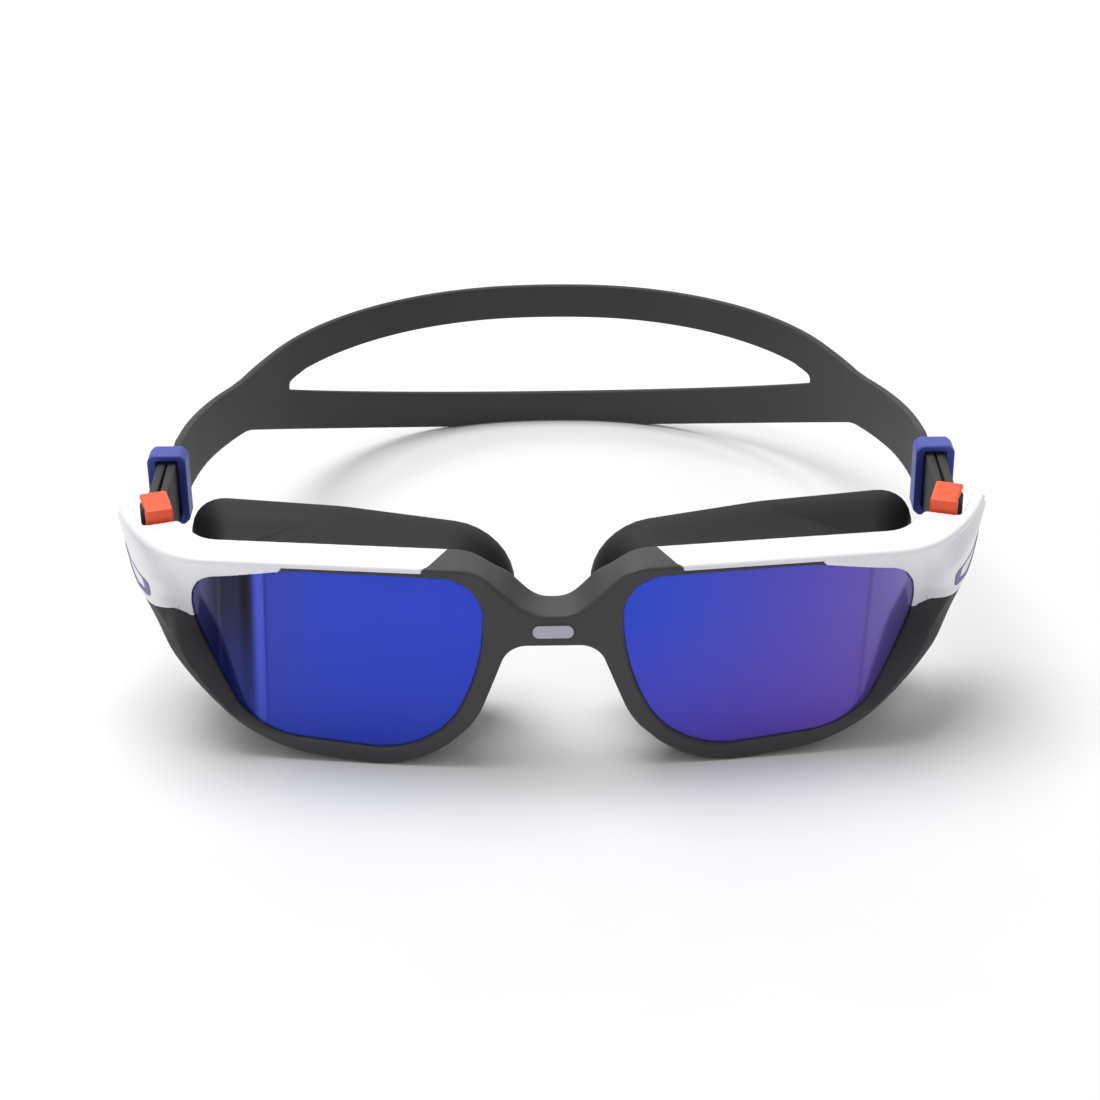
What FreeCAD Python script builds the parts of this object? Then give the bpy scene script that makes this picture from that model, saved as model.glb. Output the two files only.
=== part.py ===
"""Swim goggles: a wrap-round frame with two lenses, face seals, and a split strap on release levers.

Millimetres. X runs across, Y from the front of the lenses towards the back of the head, and Z up. Left
is -X and right is +X, as seen from the front. The goggles stand as they do on a table, on the rims and
the back of the strap, and the origin is at the middle of that footprint, at table height.
Plan lines start in the middle plane and run towards -X; every right-hand piece mirrors its left twin.
"""
import FreeCAD, Part
import math
import os
import Sketcher
from FreeCAD import Placement, Rotation, Vector

# Driving dimensions, in millimetres and degrees: alias, value.
SIZES = [
    ("front_datum", -80.1),       # Y of the plane that the front is measured from
    ("front_reach", 1.5),         # how far the bridge stands in front of that plane
    ("rim_height", 42.0),
    ("band_depth", 9.2),          # front to back thickness of the frame
    ("bridge_flat", 9.1),         # half width of the flat front of the bridge
    ("front_turn", 6.8),          # how far each rim is turned back from the bridge, in plan
    ("front_turn_radius", 40.0),
    ("rim_run", 49.6),            # straight run of the frame across a rim
    ("hinge_line_radius", 15.5),  # tight bend of the frame at the temple
    ("hinge_line_turn", 44.0),
    ("arm_radius", 52.0),         # long bend of the side arm
    ("arm_turn", 22.0),
    ("arm_tip_run", 6.0),
    ("lens_recess", 0.8),
    ("lens_start", 8.0),          # where the lens's plan line starts, left of the middle plane
    ("lens_run", 44.5),
    ("lens_radius", 22.0),
    ("lens_turn", 52.0),
    ("lens_end_run", 3.0),
    ("lens_thick", 1.8),
    ("lens_lip", 1.6),            # how far the frame's lip stands in behind the lens
    ("lip_thick", 2.0),
    ("carrier_depth", 2.9),
    ("carrier_width", 3.2),
    ("carrier_gap", 0.1),
    ("seal_thick", 1.8),
    ("arm_plate", 1.6),           # thickness of the arm's tongue over the rim
    ("arm_wall", 2.2),            # wall outside the lever pocket
    ("arm_floor", 31.5),          # height of the pocket's floor
    ("inlay_thick", 0.7),
    ("badge_length", 7.5),
    ("badge_height", 2.4),
    ("badge_thick", 0.5),
    ("badge_sunk", 0.35),
    ("badge_z", 29.4),
    ("strap_reach", 161.0),       # back of the strap loop, at its middle, from the front datum
    ("strap_thick", 1.7),
    ("strap_gap", 0.4),           # between the two layers behind the lever
    ("strap_top", 44.4),
    ("strap_front_top", 43.2),    # the top edge is lower where the strap loops round the drum
    ("strap_bottom", 32.4),
    ("tail_reach", 50.0),         # where the strap's free tail ends
    ("drum_x", 75.3),
    ("drum_back", 25.8),
    ("drum_radius", 1.0),
    ("drum_gap", 0.25),           # between the drum and the strap that loops round it
    ("drum_lift", 0.2),           # between the drum's foot and the pocket's floor
    ("pin_radius", 0.5),
    ("pin_gap", 0.05),
    ("pin_foot", 28.2),
    ("pin_top", 44.4),
    ("lever_turn", 18.4),         # how far the lever's length is turned from the Y axis
    ("lever_width", 4.6),
    ("lever_front", 5.2),         # from the drum's axis to the front of the lever
    ("lever_back", 1.8),
    ("lever_cap", 43.9),
    ("lever_top", 45.2),
    ("skirt_foot", 38.0),
    ("skirt_thick", 1.7),
    ("pocket_front", 5.9),
    ("pocket_side", 4.2),
    ("spring_wire", 0.15),        # radius of the wire
    ("spring_radius", 0.95),
    ("spring_pitch", 0.42),
    ("spring_height", 1.4),
    ("spring_room", 1.4),         # radius of the recess under the drum
    ("spring_foot", 29.4),
    ("spring_lift", 0.1),         # between the wire and the floor of its recess
    ("keeper_back", 41.8),
    ("keeper_length", 5.0),
    ("keeper_wall", 1.6),
    ("keeper_end", 1.2),
    ("keeper_gap", 0.3),
    ("keeper_round", 0.6),
]

doc = FreeCAD.newDocument("swim_goggles")
sheet = doc.addObject("Spreadsheet::Sheet", "Sizes")
for row, (alias, value) in enumerate(SIZES, start=1):
    sheet.set(f"A{row}", alias)
    sheet.set(f"B{row}", str(value))
    sheet.setAlias(f"B{row}", alias)
doc.recompute()


def size(alias):
    return float(sheet.get(alias))


# ---------------------------------------------------------------- plan lines

# Each plan line is a start point, a heading and its steps. A step is (length,) for a straight run,
# or (radius, sweep) for an arc; a positive sweep turns to the right, towards the back of the head.
FRAME_LINE = (Vector(0, -size("front_reach"), 0), 180,
              [(size("bridge_flat"),), (size("front_turn_radius"), size("front_turn")),
               (size("rim_run"),), (size("hinge_line_radius"), size("hinge_line_turn")),
               (size("arm_radius"), size("arm_turn")), (size("arm_tip_run"),)])
LENS_LINE = (Vector(-size("lens_start"), size("lens_recess") - size("front_reach"), 0),
             180 - size("front_turn"),
             [(size("lens_run"),), (size("lens_radius"), size("lens_turn")), (size("lens_end_run"),)])


def turn_left(heading):
    angle = math.radians(heading)
    return Vector(-math.sin(angle), math.cos(angle), 0)


def ahead(heading):
    angle = math.radians(heading)
    return Vector(math.cos(angle), math.sin(angle), 0)


def after(point, heading, step):
    """The point and heading at the far end of a step."""
    if len(step) == 1:
        return point + ahead(heading) * step[0], heading
    radius, sweep = step
    side = math.copysign(1, sweep)
    centre = point - turn_left(heading) * (radius * side)
    heading -= sweep
    return centre + turn_left(heading) * (radius * side), heading


def moved_arc(point, heading, step, offset):
    """The arc of a step, moved to the right of travel by offset."""
    radius, sweep = step
    side = math.copysign(1, sweep)
    centre = point - turn_left(heading) * (radius * side)
    first = math.radians(heading + 90 * side)
    last = first - math.radians(sweep)
    circle = Part.Circle(centre, Vector(0, 0, 1), radius - offset * side)
    return Part.ArcOfCircle(circle, min(first, last), max(first, last))


def walk(line, offset):
    """The line's runs and arcs, moved to the right of travel by offset, as sketch geometry."""
    point, heading, steps = line
    pieces = []
    for step in steps:
        end, end_heading = after(point, heading, step)
        if len(step) == 1:
            aside = turn_left(heading) * -offset
            pieces.append(Part.LineSegment(point + aside, end + aside))
        else:
            pieces.append(moved_arc(point, heading, step, offset))
        point, heading = end, end_heading
    return pieces


def line_end(line, offset):
    """Where the moved line stops."""
    point, heading, steps = line
    for step in steps:
        point, heading = after(point, heading, step)
    return point + turn_left(heading) * -offset


def line_start(line, offset):
    return line[0] + turn_left(line[1]) * -offset


def mirrored(pieces):
    """The same geometry on the other side of the middle plane."""
    result = []
    for piece in pieces:
        if isinstance(piece, Part.LineSegment):
            ends = [Vector(-p.x, p.y, 0) for p in (piece.StartPoint, piece.EndPoint)]
            result.append(Part.LineSegment(*ends))
        else:
            centre = Vector(-piece.Center.x, piece.Center.y, 0)
            circle = Part.Circle(centre, Vector(0, 0, 1), piece.Radius)
            result.append(Part.ArcOfCircle(circle, math.pi - piece.LastParameter,
                                           math.pi - piece.FirstParameter))
    return result


def band(line, near, far):
    """Closed plan outline between two offsets of a line."""
    caps = [Part.LineSegment(line_start(line, near), line_start(line, far)),
            Part.LineSegment(line_end(line, near), line_end(line, far))]
    return walk(line, near) + walk(line, far) + caps


def whole_band(line, near, far):
    """The same for a line that starts in the middle plane, with its mirror image joined on."""
    tip = Part.LineSegment(line_end(line, near), line_end(line, far))
    half = walk(line, near) + walk(line, far) + [tip]
    return half + mirrored(half)


# ---------------------------------------------------------------- rounded outlines

def rounded(corners):
    """Closed outline through (x, y, radius) corners, each corner rounded by an arc."""
    pieces = []
    count = len(corners)
    starts, ends = [], []
    for index, (x, y, radius) in enumerate(corners):
        corner = Vector(x, y, 0)
        before = Vector(*corners[index - 1][:2], 0) - corner
        after = Vector(*corners[(index + 1) % count][:2], 0) - corner
        before.normalize()
        after.normalize()
        if radius == 0:
            starts.append(corner)
            ends.append(corner)
            continue
        half = before.getAngle(after) / 2
        first = corner + before * (radius / math.tan(half))
        last = corner + after * (radius / math.tan(half))
        middle = before + after
        centre = corner + middle.normalize() * (radius / math.sin(half))
        angles = [math.atan2(p.y - centre.y, p.x - centre.x) for p in (first, last)]
        if (angles[1] - angles[0]) % (2 * math.pi) > math.pi:
            angles.reverse()
        if angles[1] < angles[0]:
            angles[1] += 2 * math.pi
        circle = Part.Circle(centre, Vector(0, 0, 1), radius)
        pieces.append(Part.ArcOfCircle(circle, *angles))
        starts.append(first)
        ends.append(last)
    for index in range(count):
        following = starts[(index + 1) % count]
        if ends[index].distanceToPoint(following) > 1e-6:
            pieces.append(Part.LineSegment(ends[index], following))
    return pieces


def inset(corners, margin):
    """The rounded outline's corners, moved inwards by margin."""
    count = len(corners)
    area = sum(corners[i - 1][0] * corners[i][1] - corners[i][0] * corners[i - 1][1]
               for i in range(count))
    inwards = 1 if area > 0 else -1
    moved = []
    for index, (x, y, radius) in enumerate(corners):
        corner = Vector(x, y, 0)
        arriving = corner - Vector(*corners[index - 1][:2], 0)
        leaving = Vector(*corners[(index + 1) % count][:2], 0) - corner
        arriving.normalize()
        leaving.normalize()
        normals = [Vector(-run.y, run.x, 0) * inwards for run in (arriving, leaving)]
        corner += (normals[0] + normals[1]) * (margin / (1 + normals[0].dot(normals[1])))
        hollow = arriving.cross(leaving).z * inwards < 0
        moved.append((corner.x, corner.y, radius + margin if hollow else radius - margin))
    return moved


# ---------------------------------------------------------------- building blocks

PLAN = Rotation()
FRONT = Rotation(Vector(1, 0, 0), 90)
SIDE = Rotation(Vector(1, 1, 1), 120)

# How far a cutting shape reaches past what it cuts.
CLEAR_FRONT, CLEAR_BACK, CLEAR_SIDE = 12.0, 60.0, 100.0
CLEAR_BAND = 14.0
CLEAR_TOP = 60.0
CLEAR_KEEPER = 1.0


def sketch(name, pieces, plane=PLAN, lift=0.0, bound=()):
    """A sketch of closed geometry. bound holds (piece number, alias) pairs: arcs sized by the sheet."""
    made = doc.addObject("Sketcher::SketchObject", name)
    made.Placement = Placement(Vector(0, size("front_datum"), lift), plane)
    made.setExpression("Placement.Base.y", "Sizes.front_datum")
    made.addGeometry(pieces, False)
    points = [(number, place, made.getPoint(number, place))
              for number in range(len(pieces)) for place in (1, 2)]
    for index, (number, place, point) in enumerate(points):
        for other, other_place, other_point in points[index + 1:]:
            if other != number and point.distanceToPoint(other_point) < 1e-5:
                made.addConstraint(Sketcher.Constraint("Coincident", number, place, other, other_place))
    for number, alias in bound:
        made.addConstraint(Sketcher.Constraint("Radius", number, size(alias)))
        made.setExpression(f"Constraints[{made.ConstraintCount - 1}]", f"Sizes.{alias}")
    return made


def extrusion(name, profile, forward, backward=None):
    """The sketch pushed along its normal by a size from the sheet, or by a plain length."""
    made = doc.addObject("Part::Extrusion", name)
    made.Base = profile
    made.DirMode = "Normal"
    made.Solid = True
    for prop, length in (("LengthFwd", forward), ("LengthRev", backward)):
        if isinstance(length, str):
            made.setExpression(prop, f"Sizes.{length}" if length in dict(SIZES) else length)
        elif length is not None:
            setattr(made, prop, length)
    return made


def upright(name, pieces, top="rim_height", foot=0.0, bound=()):
    """A plan outline standing from foot up by top."""
    return extrusion(name, sketch(name + "_plan", pieces, PLAN, foot, bound), top)


def through(name, pieces):
    """A front view outline pushed right through, from in front of the frame to behind it."""
    return extrusion(name, sketch(name + "_front", pieces, FRONT), CLEAR_FRONT, CLEAR_BACK)


def side_through(name, pieces):
    """A side view outline pushed right through, from one side of the goggles to the other."""
    return extrusion(name, sketch(name + "_side", pieces, SIDE), CLEAR_SIDE, CLEAR_SIDE)


def common(name, *solids):
    made = doc.addObject("Part::MultiCommon", name)
    made.Shapes = list(solids)
    return made


def fuse(name, *solids):
    made = doc.addObject("Part::MultiFuse", name)
    made.Shapes = list(solids)
    return made


def cut(name, base, *tools):
    made = doc.addObject("Part::Cut", name)
    made.Base = base
    made.Tool = tools[0] if len(tools) == 1 else fuse(name + "_tools", *tools)
    return made


def mirror(name, source):
    made = doc.addObject("Part::Mirroring", name)
    made.Source = source
    made.Base = Vector(0, 0, 0)
    made.Normal = Vector(1, 0, 0)
    return made


def keep_pair(node, left):
    """Name a left-hand piece and add its right-hand twin."""
    left.Label = node + "_left"
    right = mirror(node + "_right_copy", left)
    right.Label = node + "_right"
    parts.extend([left, right])


# ---------------------------------------------------------------- outlines of the left-hand pieces

LENS = [(-71.8, 33.4, 8.8), (-53.5, 40.0, 49.6), (-12.6, 39.6, 7.7), (-13.1, 21.8, 42.7),
        (-22.6, 2.2, 17.8), (-53.8, 5.2, 19.7), (-59.5, 10.5, 5.3)]

# Left half of the frame's front view, from the bridge's top round the tip to the bridge's underside.
FRAME_HALF = [(-4.6, 32.5, 9), (-14.3, 42, 8), (-90, 42, 0), (-90, 33.2, 0), (-76, 25.6, 22),
              (-55.1, 2.3, 27), (-25.8, -1.3, 25), (-14.3, 10.3, 8), (-8.3, 26.2, 5)]
FRAME = FRAME_HALF + [(-x, y, radius) for x, y, radius in reversed(FRAME_HALF)]

# The white arm: a tongue over the rim, a cheek down to the lens, and the whole temple.
plate_foot = size("rim_height") - size("arm_plate")
ARM = [(-21.5, 44, 0), (-21.5, plate_foot, 0), (-49.5, plate_foot, 0), (-53, 36.5, 0), (-62, 29.3, 0),
       (-70.5, 29.4, 6), (-77, 26.4, 6), (-92, 28.5, 0), (-92, 44, 0)]
# Seen from the side, the arm's top slopes down behind the lever.
ARM_SHOULDER = [(28.5, 42.5, 0), (37.2, 34.2, 0), (60, 34.2, 0), (60, 60, 0), (28.5, 60, 0)]

# The face seal, where it leaves the frame and where it meets the face.
SEAL_NECK = [(-71.4, 32, 8.4), (-53.5, 38.4, 49), (-13, 38.1, 7.3), (-13.6, 20.9, 42),
             (-23, 1.9, 17), (-53.6, 4.9, 19), (-59.1, 10.1, 5)]
SEAL_FACE = [(-70.4, 40.2, 7.5), (-40, 40.4, 60), (-6.8, 40, 9), (-7.4, 19, 20),
             (-22, 1, 16), (-54, 1.4, 19), (-69.8, 15, 14)]
NECK_BACK, FACE_BACK = 8.0, 34.0
FACE_LINE_NOSE, FACE_LINE_TEMPLE = Vector(0, 22.6, 0), Vector(-84, 39.6, 0)

# The strap seen from the side: level at the lever, sloping down, then forked round the head.
STRAP_SIDE = [(18, size("strap_front_top"), 0), (52, size("strap_top"), 30), (104, 35, 60),
              (168, 35.4, 0), (168, 0, 0), (157.5, 0, 0), (105, 23.1, 30), (78, 28, 40),
              (50, size("strap_bottom"), 20), (18, size("strap_bottom"), 0)]
STRAP_SLOT = [(122, 25.6, 1.2), (131, 26.8, 8), (170, 27.4, 0), (170, 3.2, 0)]

# The strap in plan: round the head, forward to the lever, round its drum and back as the tail.
LAYER_SHIFT = size("strap_thick") / 2 + size("strap_gap") / 2
LOOP_RADIUS = size("drum_radius") + size("drum_gap") + size("strap_thick") / 2
PINCH = 20
PINCH_RADIUS = 3.0
pinch_sine, pinch_cosine = math.sin(math.radians(PINCH)), math.cos(math.radians(PINCH))
pinch_run = (LOOP_RADIUS * pinch_cosine - PINCH_RADIUS * (1 - pinch_cosine) - LAYER_SHIFT) / pinch_sine
pinch_back = (size("drum_back") + LOOP_RADIUS * pinch_sine + pinch_run * pinch_cosine
              + PINCH_RADIUS * pinch_sine)
HEAD_ARCS = [(101.0, 5.1), (63.3, 62.4), (161.7, 22.5)]


def head_end():
    """Where the arcs round the head run out: the side of the loop, and how far back it is."""
    return line_end((Vector(0, size("strap_reach"), 0), 180, [(r, -a) for r, a in HEAD_ARCS]), 0)


flat_back = size("drum_x") - LAYER_SHIFT + head_end().x  # half of the short flat at the very back
STRAP_LINE = (Vector(0, size("strap_reach"), 0), 180,
              [(flat_back,)] + [(radius, -sweep) for radius, sweep in HEAD_ARCS]
              + [(head_end().y - pinch_back,), (PINCH_RADIUS, -PINCH), (pinch_run,),
                 (LOOP_RADIUS, 180 + 2 * PINCH), (pinch_run,), (PINCH_RADIUS, -PINCH),
                 (size("tail_reach") - pinch_back,)])

INLAY_SIDE = [(12.4, 32.2, 0.8), (14, 28.3, 1), (20, 28, 4), (34, 31.4, 0), (34, 32.6, 0)]

parts = []


# ---------------------------------------------------------------- frame, arms and lenses

def lens_room(name, near, far, margin):
    """The space inside the lens outline, between two depths behind the lens's front surface."""
    outline = LENS if margin == 0 else inset(LENS, margin)
    return common(name, through(name + "_outline", rounded(outline)),
                  upright(name + "_depth", band(LENS_LINE, near, far)))


def rim_blank():
    """Frame and arms in one: the wrapped band, trimmed to the front view."""
    band_pieces = whole_band(FRAME_LINE, 0, size("band_depth"))
    radii = [(3, "hinge_line_radius"), (4, "arm_radius")]
    return common("rim_blank", upright("rim_band", band_pieces, bound=radii),
                  through("rim_outline", rounded(FRAME)))


def drum_place(x, y):
    """A point given across and along the lever, in plan, measured from its drum's axis."""
    turn = math.radians(size("lever_turn"))
    return Vector(-size("drum_x") + x * math.cos(turn) - y * math.sin(turn),
                  size("drum_back") + x * math.sin(turn) + y * math.cos(turn), 0)


def lever_rectangle(left, right, front, back):
    corners = [drum_place(left, front), drum_place(right, front),
               drum_place(right, back), drum_place(left, back)]
    return rounded([(corner.x, corner.y, 0) for corner in corners])


def drum_stand(foot, rise=0.0):
    """The place on the drum's axis at a height from the sheet."""
    return Placement(Vector(-size("drum_x"), size("front_datum") + size("drum_back"),
                            size(foot) + rise), Rotation())


def round_post(name, radius, foot, top):
    post = doc.addObject("Part::Cylinder", name)
    post.setExpression("Radius", f"Sizes.{radius}" if radius in dict(SIZES) else radius)
    post.setExpression("Height", f"Sizes.{top} - Sizes.{foot}")
    post.Placement = drum_stand(foot)
    post.setExpression("Placement.Base.x", "-Sizes.drum_x")
    post.setExpression("Placement.Base.y", "Sizes.front_datum + Sizes.drum_back")
    post.setExpression("Placement.Base.z", f"Sizes.{foot}")
    return post


blank = rim_blank()
arm_view = through("arm_view", rounded(ARM))
lens_seat = lens_room("lens_seat", -CLEAR_FRONT, size("lens_thick"), 0)
lens_lip = through("lens_lip", rounded(inset(LENS, size("lens_lip"))))
lip_back = size("lens_thick") + size("lip_thick")
carrier_seat = lens_room("carrier_seat", lip_back, CLEAR_BAND, 0)
opening = fuse("lens_opening", lens_seat, lens_lip, carrier_seat)
opening_right = mirror("lens_opening_right", opening)
arm_view_right = mirror("arm_view_right", arm_view)

badge = doc.addObject("Part::Box", "badge_bar")
badge.setExpression("Length", "Sizes.badge_length")
badge.setExpression("Height", "Sizes.badge_height")
badge.setExpression("Width", "Sizes.badge_thick")
badge.setExpression("Placement.Base.x", "-Sizes.badge_length / 2")
badge.setExpression("Placement.Base.y",
                    "Sizes.front_datum - Sizes.front_reach + Sizes.badge_sunk - Sizes.badge_thick")
badge.setExpression("Placement.Base.z", "Sizes.badge_z - Sizes.badge_height / 2")

front_frame = cut("front_frame", blank, arm_view, arm_view_right, opening, opening_right, badge)
front_frame.Label = "front_frame"
badge.Label = "bridge_badge"
parts.extend([front_frame, badge])

lens = lens_room("lens", 0, size("lens_thick"), 0)
keep_pair("lens", lens)

carrier = cut("lens_carrier",
              lens_room("carrier_ring", lip_back, lip_back + size("carrier_depth"), size("carrier_gap")),
              through("carrier_hole", rounded(inset(LENS, size("carrier_width")))))
keep_pair("lens_carrier", carrier)

inlay = common("arm_inlay", side_through("inlay_view", rounded(INLAY_SIDE)),
               upright("inlay_depth", band(FRAME_LINE, 0, size("inlay_thick"))))
pin = round_post("lever_pin", "pin_radius", "pin_foot", "pin_top")
pocket_plan = lever_rectangle(-size("pocket_side"), CLEAR_BAND, -size("pocket_front"), CLEAR_BAND)
pocket = common("lever_pocket",
                upright("pocket_room", pocket_plan, CLEAR_TOP, size("arm_floor")),
                upright("pocket_wall", band(FRAME_LINE, size("arm_wall"), CLEAR_BAND), CLEAR_TOP,
                        size("arm_floor")))
spring_room = round_post("spring_room", "spring_room", "spring_foot", "arm_floor")
shoulder = side_through("arm_shoulder", rounded(ARM_SHOULDER))
arm = cut("arm", common("arm_blank", blank, arm_view), shoulder, opening, pocket, spring_room, pin, inlay)
keep_pair("arm", arm)
keep_pair("arm_inlay", inlay)

# ---------------------------------------------------------------- face seals

def seal_skin(name, margin):
    sections = []
    for end, corners, back in (("neck", SEAL_NECK, NECK_BACK), ("face", SEAL_FACE, FACE_BACK)):
        outline = inset(corners, margin) if margin else corners
        section = sketch(f"{name}_{end}", rounded(outline), FRONT)
        section.setExpression("Placement.Base.y", f"Sizes.front_datum + {back}")
        sections.append(section)
    skin = doc.addObject("Part::Loft", name)
    skin.Sections = sections
    skin.Solid = True
    skin.Ruled = True
    return skin


def seal_depth():
    """Plan outline from the back of the frame to the line where the seal meets the face."""
    depth = size("band_depth")
    back_of_frame = walk(FRAME_LINE, depth)
    start, tip = line_start(FRAME_LINE, depth), line_end(FRAME_LINE, depth)
    slope = (FACE_LINE_TEMPLE.y - FACE_LINE_NOSE.y) / FACE_LINE_TEMPLE.x
    corner = Vector(tip.x, FACE_LINE_NOSE.y + slope * tip.x, 0)
    return back_of_frame + [Part.LineSegment(tip, corner), Part.LineSegment(corner, FACE_LINE_NOSE),
                            Part.LineSegment(FACE_LINE_NOSE, start)]


seal_cup = common("seal_cup", cut("seal_wall", seal_skin("seal_outside", 0),
                                  seal_skin("seal_inside", size("seal_thick"))),
                  upright("seal_depth", seal_depth(), CLEAR_TOP))
seal = cut("seal", seal_cup,
           lens_room("lens_and_carrier", -CLEAR_FRONT, lip_back + size("carrier_depth"), 0))
keep_pair("seal", seal)

# ---------------------------------------------------------------- strap, levers and keepers

half_thick = size("strap_thick") / 2
ribbon = upright("strap_ribbon", whole_band(STRAP_LINE, -half_thick, half_thick), CLEAR_TOP)
strap = cut("strap", common("strap_blank", ribbon, side_through("strap_view", rounded(STRAP_SIDE))),
            side_through("strap_slot", rounded(STRAP_SLOT)))
strap.Label = "strap"
parts.append(strap)

half_width = size("lever_width") / 2
cap_plan = lever_rectangle(-half_width, half_width, -size("lever_front"), size("lever_back"))
skirt_plan = lever_rectangle(-half_width, half_width, -size("lever_front"),
                             size("skirt_thick") - size("lever_front"))
cap = upright("lever_cap", cap_plan, "Sizes.lever_top - Sizes.lever_cap", size("lever_cap"))
skirt = upright("lever_skirt", skirt_plan, "Sizes.lever_cap - Sizes.skirt_foot", size("skirt_foot"))
drum = round_post("lever_drum", "drum_radius", "arm_floor", "lever_cap")
drum.setExpression("Placement.Base.z", "Sizes.arm_floor + Sizes.drum_lift")
drum.setExpression("Height", "Sizes.lever_cap - Sizes.arm_floor - Sizes.drum_lift")
bore = round_post("lever_bore", "Sizes.pin_radius + Sizes.pin_gap", "arm_floor", "pin_top")
bore.setExpression("Height", "Sizes.pin_top - Sizes.arm_floor + Sizes.drum_lift")
lever = cut("strap_lever", fuse("lever_body", cap, skirt, drum), bore)
keep_pair("strap_lever", lever)
keep_pair("lever_pin", pin)

coil = doc.addObject("Part::Helix", "spring_coil")
wire = doc.addObject("Part::Circle", "spring_wire_end")
for prop, alias in (("Radius", "spring_radius"), ("Pitch", "spring_pitch"), ("Height", "spring_height")):
    coil.setExpression(prop, f"Sizes.{alias}")
coil.Placement = drum_stand("spring_foot", size("spring_wire") + size("spring_lift"))
wire.setExpression("Radius", "Sizes.spring_wire")
wire.Placement = Placement(coil.Placement.Base + Vector(size("spring_radius"), 0, 0), FRONT)
spring = doc.addObject("Part::Sweep", "lever_spring")
spring.Sections = [wire]
spring.Spine = (coil, ["Edge1"])
spring.Solid = True
spring.Frenet = True
keep_pair("lever_spring", spring)


def keeper_box(name, side, end, length, start):
    """A box round both strap layers, side beyond their faces and end beyond their edges."""
    half = 2 * half_thick + size("strap_gap") / 2 + side
    box = doc.addObject("Part::Box", name)
    box.Length = 2 * half
    box.Width = length
    box.Height = size("strap_top") - size("strap_bottom") + 2 * end
    box.Placement = Placement(Vector(-size("drum_x") - half, size("front_datum") + start,
                                     size("strap_bottom") - end), Rotation())
    return box


gap, wall, end_wall = size("keeper_gap"), size("keeper_wall"), size("keeper_end")
keeper_outside = keeper_box("keeper_outside", gap + wall, gap + end_wall, size("keeper_length"),
                            size("keeper_back"))
keeper_round = doc.addObject("Part::Fillet", "keeper_round")
keeper_round.Base = keeper_outside
doc.recompute()
long_edges = [number for number, edge in enumerate(keeper_outside.Shape.Edges, start=1)
              if abs(edge.tangentAt(edge.FirstParameter).y) > 0.9]
keeper_round.Edges = [(number, size("keeper_round"), size("keeper_round")) for number in long_edges]
keeper = cut("strap_keeper", keeper_round,
             keeper_box("keeper_hole", gap, gap, size("keeper_length") + 2 * CLEAR_KEEPER,
                        size("keeper_back") - CLEAR_KEEPER))
keep_pair("strap_keeper", keeper)

# ---------------------------------------------------------------- check and write

doc.recompute()
for item in doc.Objects:
    if "Invalid" in item.State or "Error" in item.State:
        raise SystemExit(f"{item.Name} failed: {item.State}")
for part in parts:
    if part.Shape.isNull() or not part.Shape.isValid() or not part.Shape.Solids:
        raise SystemExit(f"{part.Label} has no sound shape")

os.makedirs("parts", exist_ok=True)
for part in parts:
    part.Shape.exportStep(f"parts/{part.Label}.step")
    box = part.Shape.BoundBox
    print(f"{part.Label}: {len(part.Shape.Solids)} solid(s), {part.Shape.Volume:.1f} mm3, "
          f"X {box.XMin:.1f}..{box.XMax:.1f} Y {box.YMin:.1f}..{box.YMax:.1f} "
          f"Z {box.ZMin:.1f}..{box.ZMax:.1f}")
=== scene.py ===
"""Looks of the swim goggles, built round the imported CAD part.

Lengths are in millimetres until a mesh is made. A point is (x, d, z): x across, d the distance back
from the front datum, z up. Left is -x, as seen from the front; right-hand pieces mirror left ones.
A solid is a field that is negative inside, and its surface is found on a grid.
"""
import math
import bpy
import numpy as np
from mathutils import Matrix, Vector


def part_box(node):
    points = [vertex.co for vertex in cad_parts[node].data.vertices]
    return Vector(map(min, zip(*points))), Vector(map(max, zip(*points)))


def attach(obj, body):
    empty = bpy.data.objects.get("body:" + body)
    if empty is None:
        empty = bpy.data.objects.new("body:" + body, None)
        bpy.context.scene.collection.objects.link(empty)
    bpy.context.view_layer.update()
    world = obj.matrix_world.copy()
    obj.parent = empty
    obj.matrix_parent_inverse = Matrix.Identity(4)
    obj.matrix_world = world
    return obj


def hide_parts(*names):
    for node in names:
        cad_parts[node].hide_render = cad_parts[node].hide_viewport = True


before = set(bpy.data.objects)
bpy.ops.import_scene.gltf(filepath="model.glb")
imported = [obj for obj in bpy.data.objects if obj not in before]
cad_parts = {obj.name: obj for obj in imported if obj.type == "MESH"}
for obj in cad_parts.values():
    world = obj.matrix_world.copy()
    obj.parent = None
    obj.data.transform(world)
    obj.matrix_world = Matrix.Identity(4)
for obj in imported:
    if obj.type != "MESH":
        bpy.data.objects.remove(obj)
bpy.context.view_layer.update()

MM = 0.001
FRONT_REACH = 1.5  # how far the bridge stands in front of the datum
RIM_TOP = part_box("front_frame")[1][2] / MM
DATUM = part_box("front_frame")[0][1] / MM + FRONT_REACH
LEAST_RADIUS = 0.3  # of an outline's corner that is meant to be sharp


# ---------------------------------------------------------------- plan lines and outlines

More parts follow.
